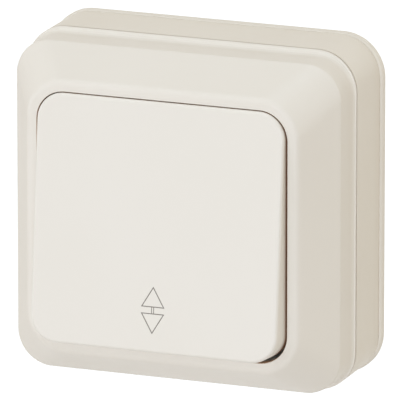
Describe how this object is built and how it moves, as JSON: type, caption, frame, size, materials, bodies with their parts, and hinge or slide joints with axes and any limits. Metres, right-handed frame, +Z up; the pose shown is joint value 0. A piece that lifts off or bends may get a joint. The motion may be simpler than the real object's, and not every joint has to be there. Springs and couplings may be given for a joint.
{
  "type": "two-way switch",
  "caption": "Surface-mounted two-way rocker switch: deep back box, cover with a sloping bezel, and one large rocker key that tips a change-over contact.",
  "frame": {"origin": "centre of the back plate's rear face, which lies on the wall", "axes": "+Z up, +X to the right seen from the front, +Y into the wall; the rocker faces -Y"},
  "size_m": [0.0682, 0.0355, 0.0676],
  "materials": {
    "plate_plastic": "satin cream moulding",
    "box_plastic": "satin cream moulding",
    "cover_plastic": "satin cream moulding",
    "key_plastic": "satin cream moulding",
    "cradle_plastic": "moulded",
    "plunger_nylon": "natural nylon",
    "mechanism_plastic": "moulded, flame-resistant",
    "terminal_brass": "stamped",
    "blade_copper": "stamped copper alloy",
    "contact_silver": "silver alloy",
    "clamp_steel": "zinc plated",
    "screw_steel": "zinc plated",
    "spring_steel": "spring wire"
  },
  "bodies": {
    "case": {"back_plate": "plate_plastic", "back_box": "box_plastic", "front_cover": "cover_plastic", "mechanism_body": "mechanism_plastic", "common_terminal": "terminal_brass", "traveller_terminal_upper": "terminal_brass", "traveller_terminal_lower": "terminal_brass", "fixed_contact_upper": "contact_silver", "fixed_contact_lower": "contact_silver", "clamp_plate_upper": "clamp_steel", "terminal_screw_upper": "screw_steel", "clamp_plate_lower": "clamp_steel", "terminal_screw_lower": "screw_steel", "clamp_plate_common": "clamp_steel", "terminal_screw_common": "screw_steel", "mechanism_screw_right": "screw_steel", "mechanism_screw_left": "screw_steel", "cover_screw_top": "screw_steel", "cover_screw_bottom": "screw_steel"},
    "rocker": {"rocker_key": "key_plastic", "rocker_cradle": "cradle_plastic", "plunger_spring": "spring_steel"},
    "plunger": {"plunger": "plunger_nylon"},
    "blade": {"contact_blade": "blade_copper", "moving_contact_upper": "contact_silver", "moving_contact_lower": "contact_silver"}
  },
  "joints": [
    {"name": "rocker_tilt", "type": "hinge", "parent": "case", "child": "rocker", "pos_m": [0, -0.0269, 0], "axis": [1, 0, 0], "range_deg": [0, 10.8]},
    {"name": "plunger_slide", "type": "slide", "parent": "rocker", "child": "plunger", "axis": [0, -0.9956, 0.0941], "range_m": [0, 0.0003], "stiffness_N_per_m": 200, "springref_m": -0.001},
    {"name": "contact_rock", "type": "hinge", "parent": "case", "child": "blade", "pos_m": [0, -0.01206, 0], "axis": [1, 0, 0], "range_deg": [-18, 0]}
  ],
  "couplings": [
    {"joint": "contact_rock", "follows": "rocker_tilt", "ratio": -1.666}
  ]
}
